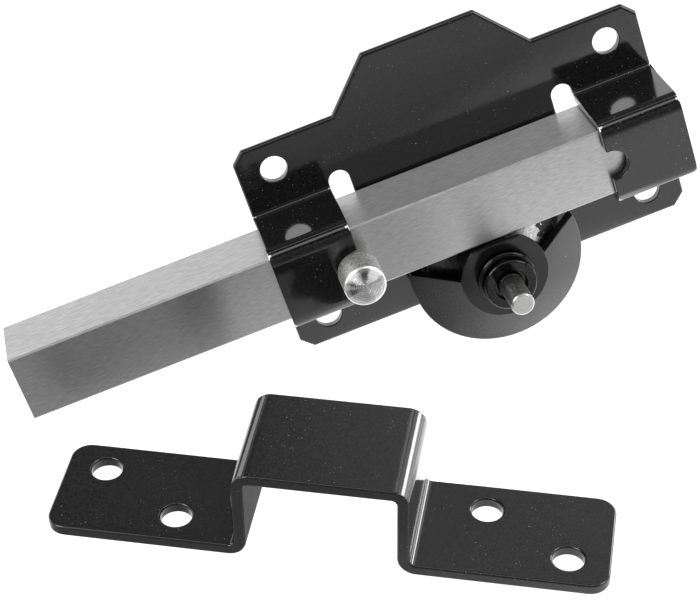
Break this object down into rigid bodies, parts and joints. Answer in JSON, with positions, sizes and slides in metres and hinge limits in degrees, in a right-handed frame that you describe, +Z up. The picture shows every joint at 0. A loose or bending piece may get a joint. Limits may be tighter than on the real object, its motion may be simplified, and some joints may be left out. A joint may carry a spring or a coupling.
{
  "type": "gate lock",
  "caption": "Long-throw gate lock: a square bolt slides through pressed straps on a black backplate, a key-turned cam with a vee deadlocks it, and an arched keep takes the bolt.",
  "frame": {"origin": "centre of the backplate's four screw holes, on the plate's back face", "axes": "+X along the bolt, from its nose to its tail; +Y into the gate; +Z up the plate, towards its crown"},
  "size_m": [0.2478, 0.2018, 0.1371],
  "materials": {
    "black_paint": "gloss black paint",
    "cam_paint": "black finish, worn grey by handling",
    "bolt_steel": "brushed lengthwise",
    "turned_steel": "turned",
    "zinc": "bright zinc plate",
    "spring_steel": "plain spring steel",
    "brass": "satin"
  },
  "bodies": {
    "lock": {"backplate": "black_paint", "housing_tube": "black_paint", "rear_rose": "black_paint", "cylinder_body": "brass", "spindle_bush": "brass", "thrust_washer": "zinc", "tie_screws": "zinc", "driver_pins": "brass", "pin_springs": "spring_steel", "spring_cover": "brass", "keep": "black_paint"},
    "bolt": {"bolt_bar": "bolt_steel", "knob_neck": "turned_steel", "knob_head": "turned_steel"},
    "cam": {"cam_disc": "cam_paint", "cam_hub": "cam_paint", "hub_collar": "cam_paint", "collar_clip": "cam_paint", "drive_spindle": "turned_steel", "cam_pin": "turned_steel", "spindle_clip": "spring_steel", "tail_bar": "spring_steel", "cylinder_plug": "brass", "plug_clip": "spring_steel", "key_pins": "brass"}
  },
  "joints": [
    {"name": "bolt_throw", "type": "slide", "parent": "lock", "child": "bolt", "axis": [1, 0, 0], "range_m": [0, 0.096]},
    {"name": "cam_turn", "type": "hinge", "parent": "lock", "child": "cam", "pos_m": [0, -0.0175, -0.026], "axis": [0, -1, 0], "range_deg": [0, 180]}
  ]
}
